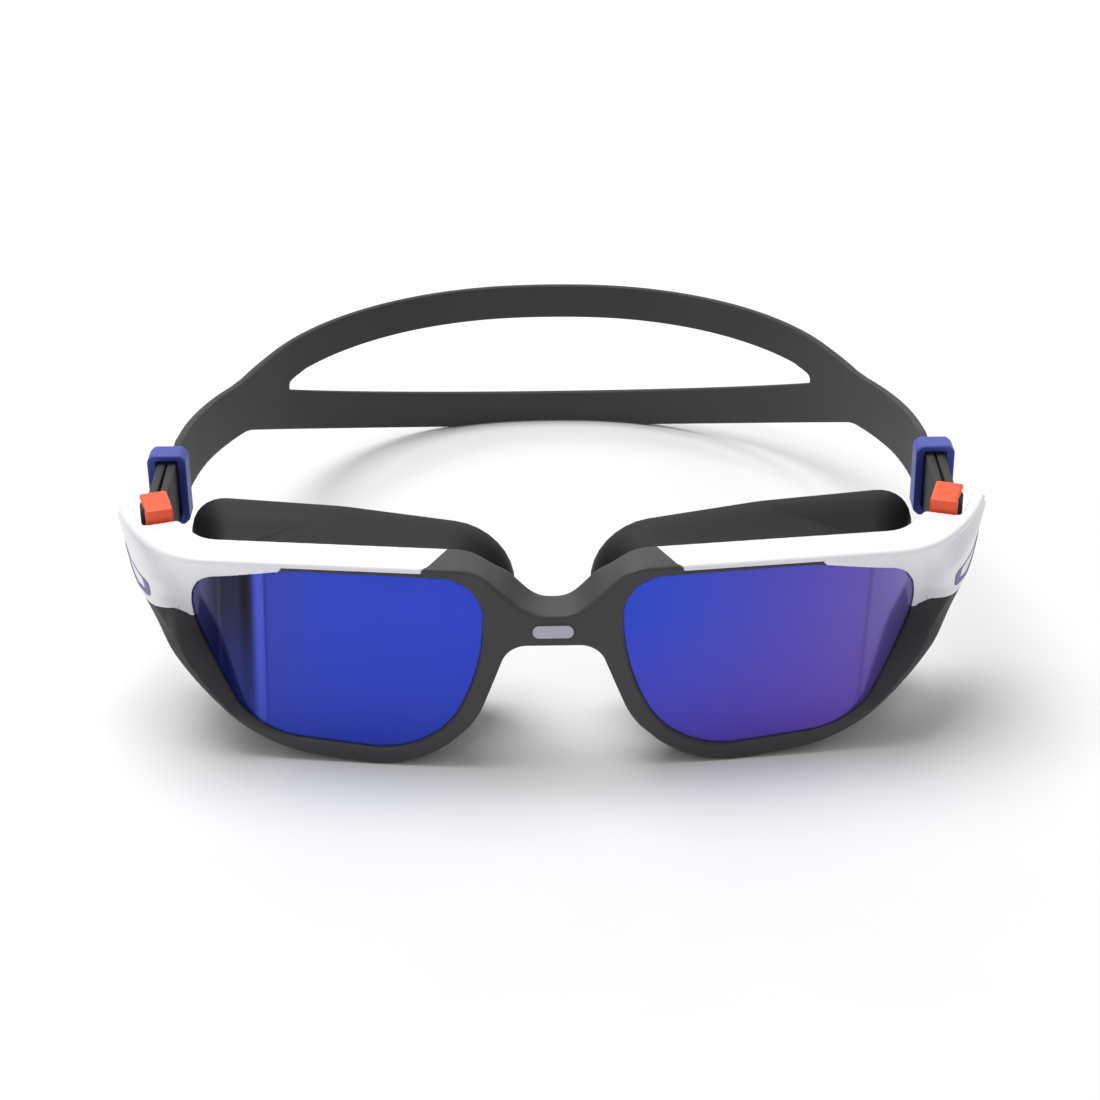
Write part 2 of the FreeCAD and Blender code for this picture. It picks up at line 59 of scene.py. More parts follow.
class PlanLine:
    """A chain of straight runs (length,) and arcs (radius, sweep) in plan. A positive sweep turns right.

    A place on it is s, the distance along it, and n, the offset to the right of travel.
    """

    def __init__(self, start, heading, steps):
        self.pieces = []
        point, s = np.array(start, float), 0.0
        for step in steps:
            angle = math.radians(heading)
            ahead = np.array([math.cos(angle), math.sin(angle)])
            right = np.array([ahead[1], -ahead[0]])
            if len(step) == 1:
                self.pieces.append(("run", point, ahead, right, s, step[0]))
                point, s = point + ahead * step[0], s + step[0]
                continue
            radius, sweep = step
            turn = math.copysign(1, sweep)
            centre = point + right * radius * turn
            first = angle + turn * math.pi / 2
            half = math.radians(abs(sweep)) / 2
            self.pieces.append(("arc", centre, radius, turn, s, first, half))
            last = first - turn * 2 * half
            point = centre + radius * np.array([math.cos(last), math.sin(last)])
            s += radius * 2 * half
            heading -= sweep
        self.length = s

    def place(self, x, d):
        """s and n of the nearest place on the line."""
        x, d = np.broadcast_arrays(x, d)
        best, s_out, n_out = (np.full(x.shape, value) for value in (np.inf, 0.0, 0.0))
        for number, piece in enumerate(self.pieces):
            if piece[0] == "run":
                _, start, ahead, right, s0, length = piece
                along = (x - start[0]) * ahead[0] + (d - start[1]) * ahead[1]
                n = (x - start[0]) * right[0] + (d - start[1]) * right[1]
                last = np.inf if number == len(self.pieces) - 1 else length
                over = along - np.clip(along, -np.inf if number == 0 else 0, last)
                gap, s = np.hypot(n, over), s0 + along
            else:
                _, centre, radius, turn, s0, first, half = piece
                u, v = x - centre[0], d - centre[1]
                middle = first - turn * half
                swept = np.arctan2(u * -math.sin(middle) + v * math.cos(middle),
                                   u * math.cos(middle) + v * math.sin(middle))
                n = (radius - np.hypot(u, v)) * turn
                gap = np.where(np.abs(swept) <= half, np.abs(n), np.inf)
                s = s0 + radius * (half - swept * turn)
            nearer = gap < best
            best = np.where(nearer, gap, best)
            s_out, n_out = np.where(nearer, s, s_out), np.where(nearer, n, n_out)
        return s_out, n_out

    def point(self, s, n):
        """x and d of a place on the line."""
        s, n = np.broadcast_arrays(s, n)
        x, d = np.zeros(s.shape), np.zeros(s.shape)
        for number, piece in enumerate(self.pieces):
            s0 = piece[4]
            here = s >= s0 if number else np.ones(s.shape, bool)
            if piece[0] == "run":
                _, start, ahead, right, _, _ = piece
                px = start[0] + ahead[0] * (s - s0) + right[0] * n
                py = start[1] + ahead[1] * (s - s0) + right[1] * n
            else:
                _, centre, radius, turn, _, first, _ = piece
                angle = first - turn * (s - s0) / radius
                reach = radius - n * turn
                px, py = centre[0] + reach * np.cos(angle), centre[1] + reach * np.sin(angle)
            x, d = np.where(here, px, x), np.where(here, py, d)
        return x, d


class Outline:
    """A closed outline through (u, v, radius) corners, each rounded by an arc."""

    def __init__(self, corners):
        points = np.array([corner[:2] for corner in corners], float)
        following = np.roll(points, -1, 0)
        area = (points[:, 0] * following[:, 1] - following[:, 0] * points[:, 1]).sum()
        self.side = math.copysign(1, area)
        self.arcs, self.runs = [], []
        ends = []
        for index, (_, _, radius) in enumerate(corners):
            radius = max(radius, LEAST_RADIUS)
            before = points[index - 1] - points[index]
            after = following[index] - points[index]
            before, after = before / np.linalg.norm(before), after / np.linalg.norm(after)
            half = math.acos(np.clip(before @ after, -1, 1)) / 2
            middle = (before + after) / np.linalg.norm(before + after)
            centre = points[index] + middle * radius / math.sin(half)
            reach = radius / math.tan(half)
            ends.append((points[index] + before * reach, points[index] + after * reach))
            bulge = 1 if (before[1] * after[0] - before[0] * after[1]) * self.side > 0 else -1
            self.arcs.append((centre, radius, -middle, math.cos(math.pi / 2 - half), bulge))
        for index in range(len(corners)):
            self.runs.append((ends[index][1], ends[(index + 1) % len(corners)][0]))
        self.ends = ends

    def __call__(self, u, v):
        """Distance from the outline, negative inside."""
        u, v = np.broadcast_arrays(u, v)
        best, signed = np.full(u.shape, np.inf), np.zeros(u.shape)
        for start, end in self.runs:
            along = end - start
            length = max(np.linalg.norm(along), 1e-9)
            along = along / length
            t = np.clip((u - start[0]) * along[0] + (v - start[1]) * along[1], 0, length)
            gap = np.hypot(u - start[0] - t * along[0], v - start[1] - t * along[1])
            left = along[0] * (v - start[1]) - along[1] * (u - start[0])
            nearer = gap < best
            best = np.where(nearer, gap, best)
            signed = np.where(nearer, np.where(left * self.side > 0, -gap, gap), signed)
        for centre, radius, middle, span, bulge in self.arcs:
            du, dv = u - centre[0], v - centre[1]
            reach = np.hypot(du, dv)
            facing = (du * middle[0] + dv * middle[1]) >= span * reach
            gap = np.where(facing, np.abs(reach - radius), np.inf)
            nearer = gap < best
            best = np.where(nearer, gap, best)
            signed = np.where(nearer, (reach - radius) * bulge, signed)
        return signed

    def ring(self, arc_steps, run_steps):
        """Points round the outline: the same number on every corner and every run."""
        points = []
        for (centre, radius, middle, _, _), (first, _), run in zip(self.arcs, self.ends, self.runs):
            a, b = first - centre, run[0] - centre
            sweep = math.atan2(a[0] * b[1] - a[1] * b[0], a @ b)
            start = math.atan2(a[1], a[0])
            for step in range(arc_steps):
                angle = start + sweep * step / arc_steps
                points.append(centre + radius * np.array([math.cos(angle), math.sin(angle)]))
            for step in range(run_steps):
                points.append(run[0] + (run[1] - run[0]) * step / run_steps)
        return np.array(points)


def inset(corners, margin):
    """The rounded outline's corners, moved inwards by margin."""
    points = np.array([corner[:2] for corner in corners], float)
    following = np.roll(points, -1, 0)
    side = math.copysign(1, (points[:, 0] * following[:, 1] - following[:, 0] * points[:, 1]).sum())
    moved = []
    for index, (_, _, radius) in enumerate(corners):
        arriving = points[index] - points[index - 1]
        leaving = following[index] - points[index]
        arriving, leaving = (run / np.linalg.norm(run) for run in (arriving, leaving))
        first, second = (np.array([-run[1], run[0]]) * side for run in (arriving, leaving))
        place = points[index] + (first + second) * margin / (1 + first @ second)
        hollow = (arriving[0] * leaving[1] - arriving[1] * leaving[0]) * side < 0
        moved.append((*place, radius + margin if hollow else radius - margin))
    return moved


# ---------------------------------------------------------------- fields and their surfaces

def meet(a, b, radius=0.0):
    """Where both fields are negative, with the edge between them rounded to a radius."""
    if radius == 0:
        return np.maximum(a, b)
    corner = np.hypot(np.maximum(a + radius, 0), np.maximum(b + radius, 0))
    return np.minimum(np.maximum(a, b), -radius) + corner


def join(a, b, radius=0.0):
    """Where either field is negative."""
    return -meet(-a, -b, radius)


def smooth(t):
    """A soft step from 0 to 1 as t goes from 0 to 1."""
    t = np.clip(t, 0, 1)
    return t * t * (3 - 2 * t)


def slopes(field, points, step):
    """Unit gradient of the field."""
    grown = np.empty_like(points)
    for axis in range(3):
        shift = np.zeros(3)
        shift[axis] = step
        ahead, behind = points + shift, points - shift
        grown[:, axis] = field(*ahead.T) - field(*behind.T)
    return grown / np.maximum(np.linalg.norm(grown, axis=1, keepdims=True), 1e-12)


REFINEMENTS = 3  # steps that bring a crossing onto the surface
SLOPE_STEP = 0.02  # of a cell, either side of a point where a slope is taken
CENTRE_PULL = 0.04  # how strongly a vertex is held to the middle of its crossings


def crossings(field, values, low, cell, axis):
    """Where the grid's edges along an axis cross the surface, and which edges run outwards."""
    count = values.shape[axis] - 1
    here = np.take(values, range(count), axis)
    there = np.take(values, range(1, count + 1), axis)
    index = np.argwhere((here < 0) != (there < 0))
    near, far = here[tuple(index.T)], there[tuple(index.T)]
    start = low + cell * index
    t_near, t_far = np.zeros(len(index)), np.ones(len(index))
    for _ in range(REFINEMENTS):
        t = t_near + (t_far - t_near) * near / (near - far)
        points = start.copy()
        points[:, axis] += t * cell[axis]
        value = field(*points.T)
        same = (value < 0) == (near < 0)
        t_near, near = np.where(same, t, t_near), np.where(same, value, near)
        t_far, far = np.where(same, t_far, t), np.where(same, far, value)
    return index, points, here[tuple(index.T)] < 0


def surface(field, low, high, cell):
    """Vertices and quads of the field's surface. Each vertex is fitted to the planes in its cell."""
    low, high = np.array(low, float), np.array(high, float)
    cell = np.broadcast_to(np.array(cell, float), 3)
    shape = np.ceil((high - low) / cell).astype(int) + 1
    x, d, z = (low[axis] + cell[axis] * np.arange(shape[axis]) for axis in range(3))
    values = field(x[:, None, None], d[None, :, None], z[None, None, :])
    owners, weights, loops = [], [], []
    for axis in range(3):
        index, points, outwards = crossings(field, values, low, cell, axis)
        normals = slopes(field, points, SLOPE_STEP * cell.min())
        b, c = (axis + 1) % 3, (axis + 2) % 3
        around = []
        for step_b, step_c in ((0, 0), (-1, 0), (-1, -1), (0, -1)):
            owner = index.copy()
            owner[:, b] += step_b
            owner[:, c] += step_c
            around.append(np.ravel_multi_index(owner.T, shape))
        around = np.array(around).T
        loops.append(np.where(outwards[:, None], around, around[:, ::-1]))
        plane = (normals * points).sum(1)
        squares = [normals[:, i] * normals[:, j] for i in range(3) for j in range(3)]
        rows = np.column_stack([np.ones(len(points)), points, *squares, normals * plane[:, None]])
        owners.append(around.ravel())
        weights.append(np.repeat(rows, 4, axis=0))
    loops = np.concatenate(loops)
    cells, places = np.unique(np.concatenate(owners), return_inverse=True)
    weights = np.concatenate(weights)
    sums = np.array([np.bincount(places, column) for column in weights.T]).T
    count = sums[:, :1]
    middle = sums[:, 1:4] / count
    matrix = sums[:, 4:13].reshape(-1, 3, 3)
    pull = sums[:, 13:16] - np.einsum("nij,nj->ni", matrix, middle)
    held = matrix + np.eye(3) * (CENTRE_PULL * count)[:, :, None]
    fitted = middle + np.linalg.solve(held, pull[:, :, None])[:, :, 0]
    corner = low + cell * np.array(np.unravel_index(cells, shape)).T
    fitted = np.clip(fitted, corner, corner + cell)
    return fitted, np.searchsorted(cells, loops)


def mesh_object(name, points, quads):
    """A mesh from (x, d, z) points in millimetres."""
    mesh = bpy.data.meshes.new(name)
    placed = (points + np.array([0, DATUM, 0])) * MM
    mesh.from_pydata(placed.tolist(), [], quads.tolist())
    mesh.validate()
    mesh.polygons.foreach_set("use_smooth", np.ones(len(mesh.polygons), bool))
    piece = bpy.data.objects.new(name, mesh)
    bpy.context.scene.collection.objects.link(piece)
    return piece


def shade(piece, sharp=50):
    """Smooth shading that breaks at edges sharper than an angle in degrees."""
    piece.data.set_sharp_from_angle(angle=math.radians(sharp))


def carved(name, field, low, high, cell):
    """A piece made of a field's surface, looked for between two corners."""
    points, quads = surface(field, low, high, cell)
    piece = mesh_object(name, points, quads)
    shade(piece)
    return piece


def mirrored(piece, name):
    """The same piece on the other side."""
    mesh = piece.data.copy()
    mesh.name = name
    twin = bpy.data.objects.new(name, mesh)
    bpy.context.scene.collection.objects.link(twin)
    places = np.empty(len(mesh.vertices) * 3)
    mesh.vertices.foreach_get("co", places)
    places[0::3] *= -1
    mesh.vertices.foreach_set("co", places)
    mesh.flip_normals()
    mesh.update()
    return twin


# ---------------------------------------------------------------- the goggles' shapes

FRONT_TURN = 6.8  # degrees by which each half of the front leans back
BAND = 9.2  # thickness of the frame and arms together
FRAME_LINE = PlanLine((0, -FRONT_REACH), 180,
                      [(9.1,), (40, FRONT_TURN), (49.6,), (15.5, 44), (52, 22), (6,)])
LENS_RECESS, LENS_THICK, LENS_GAP = 0.8, 1.8, 0.05
LIP_WIDE, LIP_THICK = 1.6, 2.0
LENS_LINE = PlanLine((-8, LENS_RECESS - FRONT_REACH), 180 - FRONT_TURN, [(44.5,), (22, 52), (3,)])
LENS = [(-71.8, 33.4, 8.8), (-53.5, 40.0, 49.6), (-12.6, 39.6, 7.7), (-13.1, 21.8, 42.7),
        (-22.6, 2.2, 17.8), (-53.8, 5.2, 19.7), (-59.5, 10.5, 5.3)]
FRAME_HALF = [(-4.6, 32.5, 9), (-14.3, RIM_TOP, 8), (-90, RIM_TOP, 0), (-90, 33.2, 0), (-76, 25.6, 22),
              (-55.1, 2.3, 27), (-25.8, -1.3, 22), (-14.3, 10.3, 18), (-8.3, 26.2, 5)]
CHEEK = [(-49.5, 44, 0), (-49.5, 40.4, 0), (-53, 36.5, 0), (-62, 24.2, 0), (-68.4, 26, 4), (-72, 27.8, 6),
         (-77, 26.8, 6), (-92, 28.5, 0), (-92, 44, 0)]

# A view is seen from the front, in x and z, and a side from the left, in d and z.
LENS_VIEW = Outline(LENS)
FRAME_VIEW = Outline(FRAME_HALF + [(-x, z, radius) for x, z, radius in reversed(FRAME_HALF)])
CHEEK_VIEW = Outline(CHEEK)
SHOULDER_SIDE = Outline([(28.5, 42.5, 2), (37.2, 34.2, 2), (60, 34.2, 0), (60, 60, 0), (28.5, 60, 0)])

TONGUE_THICK, TONGUE_ROUND = 1.1, 1.3
TONGUE_END = (19.0, 8.3, 0.48)  # x and d of the tongue's inner end at its back, and its slant

DRUM_X, DRUM_BACK = 75.3, 25.8  # the axis that the lever turns on
LEVER_TURN = math.radians(18.4)  # how far the lever points off straight ahead

# The flank's cove: x and the height of the ridge under it, and x and how deep it is.
RIDGE_X, RIDGE_HEIGHT = [-84, -80, -76, -71, -66], [38.5, 36.5, 34.2, 31.5, 30.0]
COVE_X, COVE_DEPTH = [-84, -79, -74], [0.5, 1.3, 2.4]
COVE_LIP = 0.9  # height of the plain edge above it
COVE_ENTRY, COVE_FALL = 0.28, 1.3  # the share of its height where it drops in, and how it runs out
TUCK_SLOPE, TUCK_REACH, TUCK_FOOT = 0.2, 6, 20  # how the flank leans in under the ridge
FLANK_START, FLANK_FADE = -54, 10  # x where the cove and tuck begin, and the length they grow over
RIM_STEP, RIM_ENTRY = 0.35, 0.15  # the slighter step under the edge along the rim

# The bevel at the lens, which is steeper near the lens's foot and stops below the frame's top.
BEVEL_SLOPE, BEVEL_GAIN, BEVEL_GAIN_BELOW, BEVEL_GAIN_OVER = 0.45, 1.05, 30, 8
BEVEL_RISE, BEVEL_STOP, BEVEL_STOP_OVER = 12, 1.4, 0.9
BEVEL_PROUD = 0.3  # how far it stands in front of the lens where it starts
BEVEL_OUTER, BEVEL_FADE = -78, 9  # x where it has died away, and the length that takes

PEAK_RISE, PEAK_X, PEAK_WIDE = 2, -7.5, 3.5  # the bridge's back edge rises to a peak on each side
PEAK_FOOT, PEAK_FADE = 27, 5
FRONT_ROUND, BACK_ROUND, END_ROUND = 0.7, 1.2, 0.4
ABOVE_FLOOR = 0.01


def relief(x, z):
    """How far the flank is carved in: a cove under the top edge, a shoulder, and a flank that tucks in."""
    ridge = np.interp(x, RIDGE_X, RIDGE_HEIGHT)
    edge = RIM_TOP - COVE_LIP
    u = (edge - z) / (edge - ridge)
    deep = np.interp(x, COVE_X, COVE_DEPTH)
    cove = deep * smooth(u / COVE_ENTRY) * np.clip(1 - u, 0, 1) ** COVE_FALL
    tuck = TUCK_SLOPE * np.clip(ridge - z, 0, TUCK_REACH) * smooth((z - TUCK_FOOT) / TUCK_REACH)
    outer = smooth((FLANK_START - x) / FLANK_FADE)
    return (cove + tuck) * outer + RIM_STEP * smooth(u / RIM_ENTRY) * (1 - outer)


def face(side, d, z):
    """How far a place on the left is in front of the outer face: the flank, and the bevel at the lens."""
    _, n = FRAME_LINE.place(side, d)
    _, lens_n = LENS_LINE.place(side, d)
    slope = BEVEL_SLOPE + BEVEL_GAIN * smooth((BEVEL_GAIN_BELOW - z) / BEVEL_GAIN_OVER)
    stop = BEVEL_RISE * smooth((z - RIM_TOP + BEVEL_STOP) / BEVEL_STOP_OVER)
    beside = slope * np.maximum(LENS_VIEW(side, z), 0) + stop
    bevel = (-lens_n - BEVEL_PROUD - beside) / np.hypot(1, slope)
    flank = relief(side, z) - n
    return flank + smooth((side - BEVEL_OUTER) / BEVEL_FADE) * np.maximum(bevel - flank, 0)


def blank(x, d, z):
    """Frame and arms in one."""
    side = -np.abs(x)
    s, n = FRAME_LINE.place(side, d)
    peak = PEAK_RISE * np.exp(-((side - PEAK_X) / PEAK_WIDE) ** 2) * smooth((z - PEAK_FOOT) / PEAK_FADE)
    rise = peak * (d + FRONT_REACH) / BAND
    front = meet(face(side, d, z), FRAME_VIEW(side, z - rise), FRONT_ROUND)
    body = meet(meet(front, n - BAND, BACK_ROUND), s - FRAME_LINE.length, END_ROUND)
    return np.maximum(body, ABOVE_FLOOR - z)


def lens_opening(x, d, z):
    """The seat of the lens, the way through inside its lip, and the seat of the carrier behind."""
    side = -np.abs(x)
    view = LENS_VIEW(side, z)
    _, n = LENS_LINE.place(side, d)
    seat = np.maximum(view, n - LENS_THICK)
    behind = np.maximum(view, LENS_THICK + LIP_THICK - n)
    return join(join(seat, view + LIP_WIDE), behind)


def white(x, d, z):
    """The arm's share of the blank: the tongue over the rim, and the cheek and temple."""
    side = -np.abs(x)
    end_x, end_d, slant = TONGUE_END
    _, n = FRAME_LINE.place(side, d)
    end = (side + end_x + (end_d - d) * slant) / math.hypot(1, slant)
    tongue = np.maximum(meet(end, -n, TONGUE_ROUND), RIM_TOP - TONGUE_THICK - z)
    return join(tongue, CHEEK_VIEW(side, z))


def along_lever(x, d):
    """Across and along the lever, from its drum's axis."""
    u, v = x + DRUM_X, d - DRUM_BACK
    return (u * math.cos(LEVER_TURN) + v * math.sin(LEVER_TURN),
            -u * math.sin(LEVER_TURN) + v * math.cos(LEVER_TURN))


# The pocket's walls, from the drum's axis and from the outer face, and the height of its floor.
POCKET_SIDE, POCKET_FRONT, POCKET_WALL, POCKET_FLOOR = 4.2, 5.9, 2.2, 31.5
POCKET_CORNER, POCKET_FOOT, POCKET_EDGE = 0.8, 0.5, 0.3
SHOULDER_ROUND = 0.9
SEAM = 0.04  # half of the gap between frame and arm


def pocket(x, d, z):
    """The lever's pocket, open to the top, the inside and the rear."""
    across, along = along_lever(x, d)
    _, n = FRAME_LINE.place(x, d)
    corner = meet(-POCKET_SIDE - across, -POCKET_FRONT - along, POCKET_CORNER)
    return meet(meet(corner, POCKET_WALL - n, POCKET_CORNER), POCKET_FLOOR - z, POCKET_FOOT)


def frame_field(x, d, z):
    """The charcoal rims and bridge: what the arms leave of the blank."""
    body = np.maximum(blank(x, d, z), SEAM - white(x, d, z))
    return meet(body, -lens_opening(x, d, z))


def arm_field(x, d, z):
    """The white arm: its share of the blank, with the shoulder and the pocket cut away."""
    body = np.maximum(blank(x, d, z), SEAM + white(x, d, z))
    body = meet(meet(body, -SHOULDER_SIDE(d, z), SHOULDER_ROUND), -lens_opening(x, d, z))
    return meet(body, -pocket(x, d, z), POCKET_EDGE)


def lens_field(x, d, z):
    """The lens, a little smaller than its seat."""
    _, n = LENS_LINE.place(x, d)
    return meet(meet(-n, LENS_VIEW(x, z) + LENS_GAP), n - LENS_THICK)


# ---------------------------------------------------------------- seals

SEAL_NECK = [(-71.4, 32, 8.4), (-53.5, 38.4, 49), (-13, 38.1, 7.3), (-13.6, 20.9, 42),
             (-23, 1.9, 17), (-53.6, 4.9, 19), (-59.1, 10.1, 5)]
SEAL_FACE = [(-70.4, 40.2, 7.5), (-40, 40.4, 60), (-6.8, 38.4, 12), (-7.4, 19, 20),
             (-22, 1, 16), (-54, 1.4, 19), (-69.8, 15, 14)]
SEAL_THICK = 1.8
SEAL_START = 0.6  # how far the wall starts inside the frame's back
LIP_START = 0.93  # share of the wall's depth where its rolled lip begins
WALL_RINGS, LIP_RINGS = 16, 9
ARC_STEPS, RUN_STEPS = 8, 10  # points on each corner and each run of a ring
NECK_SPREAD, FLANGE_START, FLANGE_LENGTH = 0.1, 0.35, 0.5  # how the wall widens towards the face
BACK_SAMPLES = 400
FACE_AT_NOSE, FACE_SLOPE = 22.6, 17.0 / 84  # the plane of the lips: its depth at x 0, and its lean


def frame_back(x):
    """How far back the frame's rear surface is, for each x."""
    s = np.linspace(0, FRAME_LINE.length, BACK_SAMPLES)
    back_x, back_d = FRAME_LINE.point(s, BAND - SEAL_START)
    order = np.argsort(back_x)
    return np.interp(x, back_x[order], back_d[order])


def seal_ring(margin, t, spread):
    """One ring of the seal's wall, t of the way from the frame to the face."""
    neck = Outline(inset(SEAL_NECK, margin)).ring(ARC_STEPS, RUN_STEPS)
    mouth = Outline(inset(SEAL_FACE, margin)).ring(ARC_STEPS, RUN_STEPS)
    plan = neck + (mouth - neck) * spread
    depth_from, depth_to = frame_back(plan[:, 0]), FACE_AT_NOSE - FACE_SLOPE * plan[:, 0]
    return np.column_stack([plan[:, 0], depth_from + (depth_to - depth_from) * t, plan[:, 1]])


def flare(t):
    """How far the wall has spread from the neck's outline to the mouth's: a narrow neck, then a flange."""
    return NECK_SPREAD * t + (1 - NECK_SPREAD) * smooth((t - FLANGE_START) / FLANGE_LENGTH)


def seal_points():
    """Rings from the frame out along the outer wall, over the rolled lip and back inside."""
    rings = []
    lip = SEAL_THICK / 2
    for t in np.linspace(0, LIP_START, WALL_RINGS):
        rings.append(seal_ring(0, t, flare(t)))
    for angle in np.linspace(0, math.pi, LIP_RINGS)[1:-1]:
        t = LIP_START + (1 - LIP_START) * math.sin(angle)
        rings.append(seal_ring(lip - lip * math.cos(angle), t, 1))
    for t in np.linspace(LIP_START, 0, WALL_RINGS):
        rings.append(seal_ring(SEAL_THICK, t, flare(t)))
    return rings


def tube(name, rings):
    """A closed skin through rings, the last joined to the first."""
    count, around = len(rings), len(rings[0])
    index = np.arange(count * around).reshape(count, around)
    after, beside = np.roll(index, -1, 0), np.roll(index, -1, 1)
    quads = np.stack([index, beside, np.roll(after, -1, 1), after], -1).reshape(-1, 4)
    return mesh_object(name, np.concatenate(rings), quads)


# ---------------------------------------------------------------- strap, levers and keepers

STRAP_TOP, STRAP_BOTTOM, STRAP_THICK, STRAP_GAP = 44.4, 32.4, 1.7, 0.4
# The band that forks, and the slot that parts it in two.
STRAP_SIDE = Outline([(18, STRAP_TOP - 1.2, 0), (52, STRAP_TOP, 30), (104, 35, 60), (168, 35.4, 0),
                      (168, 0, 0), (157.5, 0, 0), (105, 23.1, 30), (78, 28, 40),
                      (50, STRAP_BOTTOM, 20), (18, STRAP_BOTTOM, 0)])
STRAP_SLOT = Outline([(122, 25.6, 1.2), (131, 26.8, 8), (170, 27.4, 0), (170, 3.2, 0)])
STRAP_REACH, TAIL_REACH = 161.0, 50.0  # d of the strap's back and of its tail's end
LAYER_SHIFT = STRAP_THICK / 2 + STRAP_GAP / 2
LOOP_INSIDE = 1.25  # radius of the hole that the drum goes through
LOOP_RADIUS = LOOP_INSIDE + STRAP_THICK / 2
PINCH, PINCH_RADIUS = 20, 3.0  # the bend behind the drum that brings the two layers together
HEAD_ARCS = [(101.0, -5.1), (63.3, -62.4), (161.7, -22.5)]  # round the head, from its back


def strap_line():
    """The strap's plan: round the back of the head, forward to the drum, round it and back as a tail."""
    sine, cosine = math.sin(math.radians(PINCH)), math.cos(math.radians(PINCH))
    pinch_run = (LOOP_RADIUS * cosine - PINCH_RADIUS * (1 - cosine) - LAYER_SHIFT) / sine
    pinch_back = DRUM_BACK + LOOP_RADIUS * sine + pinch_run * cosine + PINCH_RADIUS * sine
    arcs = PlanLine((0, STRAP_REACH), 180, HEAD_ARCS)
    end_x, end_d = arcs.point(arcs.length, 0)
    flat = DRUM_X - LAYER_SHIFT + end_x
    pinch_in, pinch_out = (PINCH_RADIUS, -PINCH), (pinch_run,)
    loop = [pinch_in, pinch_out, (LOOP_RADIUS, 180 + 2 * PINCH), pinch_out, pinch_in]
    steps = [(flat,)] + HEAD_ARCS + [(end_d - pinch_back,)] + loop + [(TAIL_REACH - pinch_back,)]
    return PlanLine((0, STRAP_REACH), 180, steps)


STRAP_LINE = strap_line()
STRAP_TRIM, STRAP_EDGE, TAIL_CORNER = 0.03, 0.45, 1.0
STRAP_CELL = (0.8, 0.37, 0.5)  # along, through and up
STRAP_SHARP = 40  # degrees


def strap_field(s, n, z):
    """The strap laid flat: s along it from the middle of its back, n through it."""
    _, d = STRAP_LINE.point(np.abs(s), 0)
    side = meet(STRAP_SIDE(d, z), -STRAP_SLOT(d, z))
    side = meet(side, np.abs(s) - STRAP_LINE.length, TAIL_CORNER)
    return meet(side, np.abs(n) - STRAP_THICK / 2 + STRAP_TRIM, STRAP_EDGE)


def strap_piece():
    """The flat strap, wrapped onto its plan on both sides."""
    reach = STRAP_LINE.length + 2
    flat, quads = surface(strap_field, (-reach, -1.3, -1), (reach, 1.3, 46), STRAP_CELL)
    x, d = STRAP_LINE.point(np.abs(flat[:, 0]), flat[:, 1])
    points = np.column_stack([np.where(flat[:, 0] > 0, -x, x), d, flat[:, 2]])
    piece = mesh_object("head_strap", points, quads)
    shade(piece, STRAP_SHARP)
    return piece


def box_field(across, along, z, low, high, radius):
    """A box with every edge rounded."""
    reach = [np.maximum(low[i] - value, value - high[i]) + radius
             for i, value in enumerate((across, along, z))]
    outside = np.sqrt(sum(np.maximum(value, 0) ** 2 for value in reach))
    return outside + np.minimum(np.maximum(np.maximum(reach[0], reach[1]), reach[2]), 0) - radius


# The lever's half width, and its ends measured along it from the drum's axis.
LEVER_HALF, LEVER_FRONT, LEVER_BACK, LEVER_ROUND = 2.6, -5.2, 1.8, 0.45
CAP_UNDER, CAP_TOP, CAP_EDGE = 43.9, 46.2, 0.5
CAP_LIP, CAP_SLOPE = 44.25, 0.12  # height of the sloped cap at its front, and its rise towards the back
SKIRT_FOOT, SKIRT_TOP, SKIRT_BACK, SKIRT_BLEND = 38.0, 44.1, -3.5, 0.3
DRUM_RADIUS, DRUM_MIDDLE, DRUM_HALF, DRUM_EDGE, DRUM_BLEND = 1.0, 38.0, 6.2, 0.1, 0.2


def lever_field(x, d, z):
    """The release lever: a sloped cap, a skirt in front, and the drum that the strap goes round."""
    across, along = along_lever(x, d)
    cap = box_field(across, along, z, (-LEVER_HALF, LEVER_FRONT, CAP_UNDER),
                    (LEVER_HALF, LEVER_BACK, CAP_TOP), LEVER_ROUND)
    cap = meet(cap, z - CAP_LIP - CAP_SLOPE * (along - LEVER_FRONT), CAP_EDGE)
    skirt = box_field(across, along, z, (-LEVER_HALF, LEVER_FRONT, SKIRT_FOOT),
                      (LEVER_HALF, SKIRT_BACK, SKIRT_TOP), LEVER_ROUND)
    drum = meet(np.hypot(x + DRUM_X, d - DRUM_BACK) - DRUM_RADIUS,
                np.abs(z - DRUM_MIDDLE) - DRUM_HALF, DRUM_EDGE)
    return join(join(cap, skirt, SKIRT_BLEND), drum, DRUM_BLEND)


KEEPER_X, KEEPER_BACK, KEEPER_LENGTH = DRUM_X, 41.8, 5.0
KEEPER_WALL, KEEPER_END, KEEPER_GAP, KEEPER_CHAMFER = 1.6, 1.15, 0.3, 1.1
KEEPER_EDGE, KEEPER_RIM, KEEPER_MOUTH = 0.3, 0.35, 0.2


